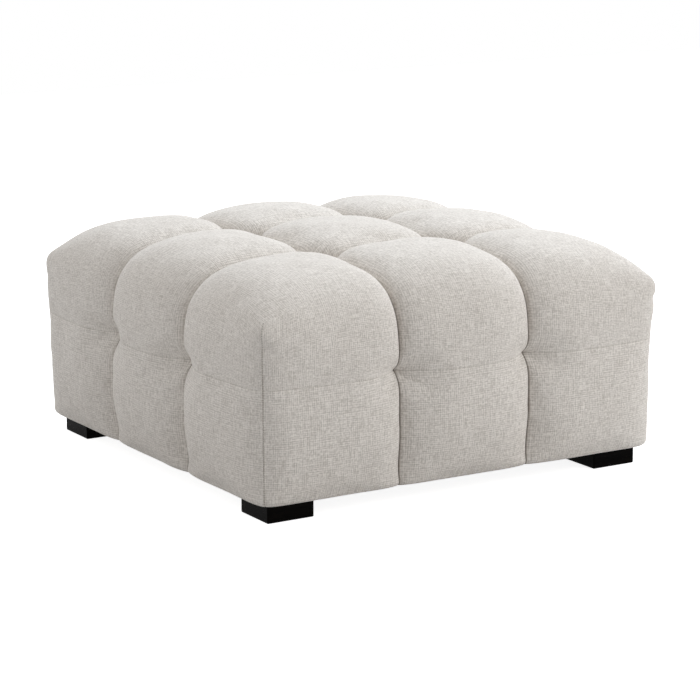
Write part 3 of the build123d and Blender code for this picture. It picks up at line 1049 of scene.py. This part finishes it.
# %% [markdown]
# ## Floor and backdrop
#
# The picture is a studio cut-out: the pouf stands on white paper with a white room behind it. A
# white picture pasted behind would lose the shadow, so the floor is real. It is grey to the light
# and adds a little white of its own for the camera and for reflections only, which clears it to
# white and leaves a soft shadow under the legs.

# %% Paper floor
floor_half = 6.0
floor_grey = 0.66
floor_glow = 0.89


def seen_by(tree, *kinds):
    """1 for rays of any of these kinds, and 0 for the others."""
    rays = add(tree, "ShaderNodeLightPath")
    seen, *others = (rays.outputs["Is " + kind + " Ray"] for kind in kinds)
    for other in others:
        seen = calc(tree, "MAXIMUM", seen, other)
    return seen


mesh = bpy.data.meshes.new("floor")
signs = ((-1, -1), (1, -1), (1, 1), (-1, 1))
mesh.from_pydata([(floor_half * a, floor_half * b, 0) for a, b in signs], [], [(0, 1, 2, 3)])
floor = bpy.data.objects.new("floor", mesh)
scene.collection.objects.link(floor)

paper, tree, shader = material("paper", 0.9, Specular_IOR_Level=0.1)
shader.inputs["Base Color"].default_value = (floor_grey, floor_grey, floor_grey, 1.0)
shine = calc(tree, "MULTIPLY", seen_by(tree, "Camera", "Glossy"), floor_glow)
glow = add(tree, "ShaderNodeEmission", {"Color": (1, 1, 1, 1), "Strength": shine})
both = add(tree, "ShaderNodeAddShader", {0: shader.outputs["BSDF"], 1: glow.outputs["Emission"]})
tree.links.new(both.outputs["Shader"], tree.nodes["Material Output"].inputs["Surface"])
mesh.materials.append(paper)
print("floor", 2 * floor_half, "m wide")

# %% [markdown]
# ## Light
#
# The top of the pouf is brightest, its right side is a little darker, and its left side and the
# near corner are the darkest. So the main soft lamp hangs above, to the right and behind, a second
# one stands in front to the right, and a weak one opens the left side. A lamp alone gives hard
# contrast, so a pale room fills the shadows. That room is dimmer in the direction that dark_way
# points, which is behind the camera, as in a studio whose dark end has the camera in it. Rays from
# the camera, and reflections, see the room as plain white.

# %% The room
ambient = 0.915
dark_share = 0.75
dark_way = (-0.62, -0.76, 0.20)
dark_range = (0.30, 0.95)

world = bpy.data.worlds.new("world")
scene.world = world
world.use_nodes = True
tree = world.node_tree
way_in = add(tree, "ShaderNodeTexCoord").outputs["Generated"]
facing = add(tree, "ShaderNodeVectorMath", {0: way_in, 1: dark_way}, operation="DOT_PRODUCT")
dimmed = ramp(tree, facing.outputs["Value"], 1.0, 1.0 - dark_share, *dark_range)
fill = calc(tree, "MULTIPLY", dimmed, ambient)
shown = seen_by(tree, "Camera", "Glossy", "Transmission")
to_white = calc(tree, "MULTIPLY", shown, calc(tree, "SUBTRACT", 1.0, fill))
background = tree.nodes["Background"]
background.inputs["Color"].default_value = (1.0, 1.0, 1.0, 1.0)
tree.links.new(calc(tree, "ADD", to_white, fill), background.inputs["Strength"])
print("room light from", round(ambient * (1.0 - dark_share), 3), "to", ambient)

# %% Three soft lamps
white = (1.0, 1.0, 1.0)
sky_blue = (0.80, 0.90, 1.0)
lamp_aim = Vector((0.0, 0.0, 0.25))


def lamp(name, place, width, watts, tint):
    """A square soft lamp at a place, aimed at the middle of the pouf."""
    data = bpy.data.lights.new(name, "AREA")
    data.shape, data.size, data.energy, data.color = "SQUARE", width, watts, tint
    made = bpy.data.objects.new(name, data)
    made.location = place
    made.rotation_euler = (lamp_aim - Vector(place)).to_track_quat("-Z", "Y").to_euler()
    scene.collection.objects.link(made)


lamp("top_lamp", (1.8, 1.0, 3.0), 2.6, 66.0, sky_blue)
lamp("front_lamp", (2.9, -3.2, 1.75), 2.1, 46.0, white)
lamp("side_lamp", (-3.8, -1.0, 1.6), 2.0, 5.0, white)
scene.view_settings.view_transform = "Standard"
print("lamps", [light.name for light in bpy.data.lights])
